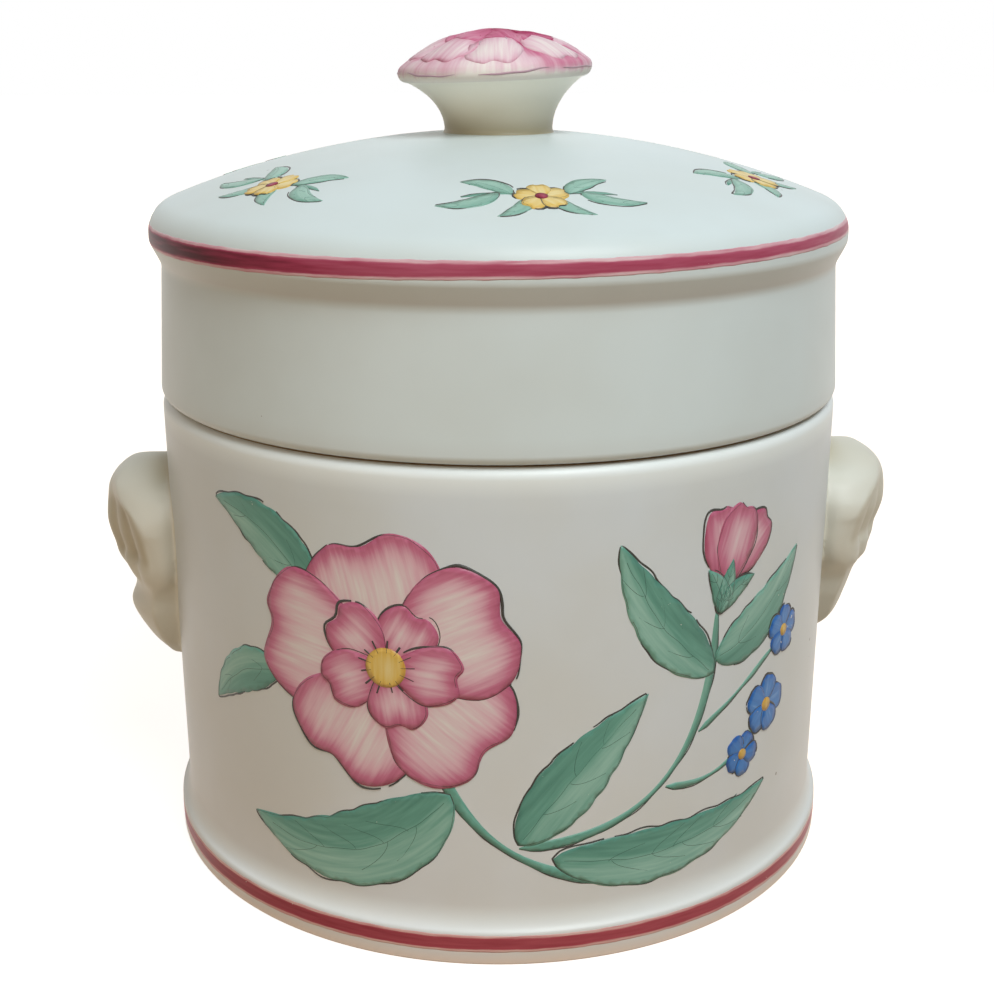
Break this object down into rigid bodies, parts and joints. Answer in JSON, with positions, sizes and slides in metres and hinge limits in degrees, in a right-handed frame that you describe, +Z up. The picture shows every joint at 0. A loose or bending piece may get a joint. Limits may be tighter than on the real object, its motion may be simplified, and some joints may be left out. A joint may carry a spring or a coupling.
{
  "type": "lidded pot",
  "caption": "Round glazed earthenware pot with a flared foot, moulded shell lugs and a deep domed cap lid with a flower knob, for sugar, sweets or condiments at table.",
  "frame": {"origin": "centre of the pot's base, on the surface that it stands on", "axes": "+Z up along the pot's axis, X through the two lugs, the painted front faces -Y"},
  "size_m": [0.1308, 0.1122, 0.1313],
  "materials": {
    "cream_glaze": "glossy cream glaze with a little unevenness, painted stripe and flower spray",
    "lug_glaze": "glossy cream glaze, warmer where it pools in the hollows",
    "lid_glaze": "glossy pale cream glaze with a painted stripe and small sprigs",
    "knob_glaze": "glossy cream glaze, the flower painted pink and crimson"
  },
  "bodies": {
    "pot": {"pot_body": "cream_glaze", "left_handle": "lug_glaze", "right_handle": "lug_glaze"},
    "lid": {"lid": "lid_glaze", "lid_knob": "knob_glaze"}
  },
  "joints": [
    {"name": "lid_lift", "type": "slide", "parent": "pot", "child": "lid", "axis": [0, 0, 1], "range_m": [0, 0.06]}
  ]
}
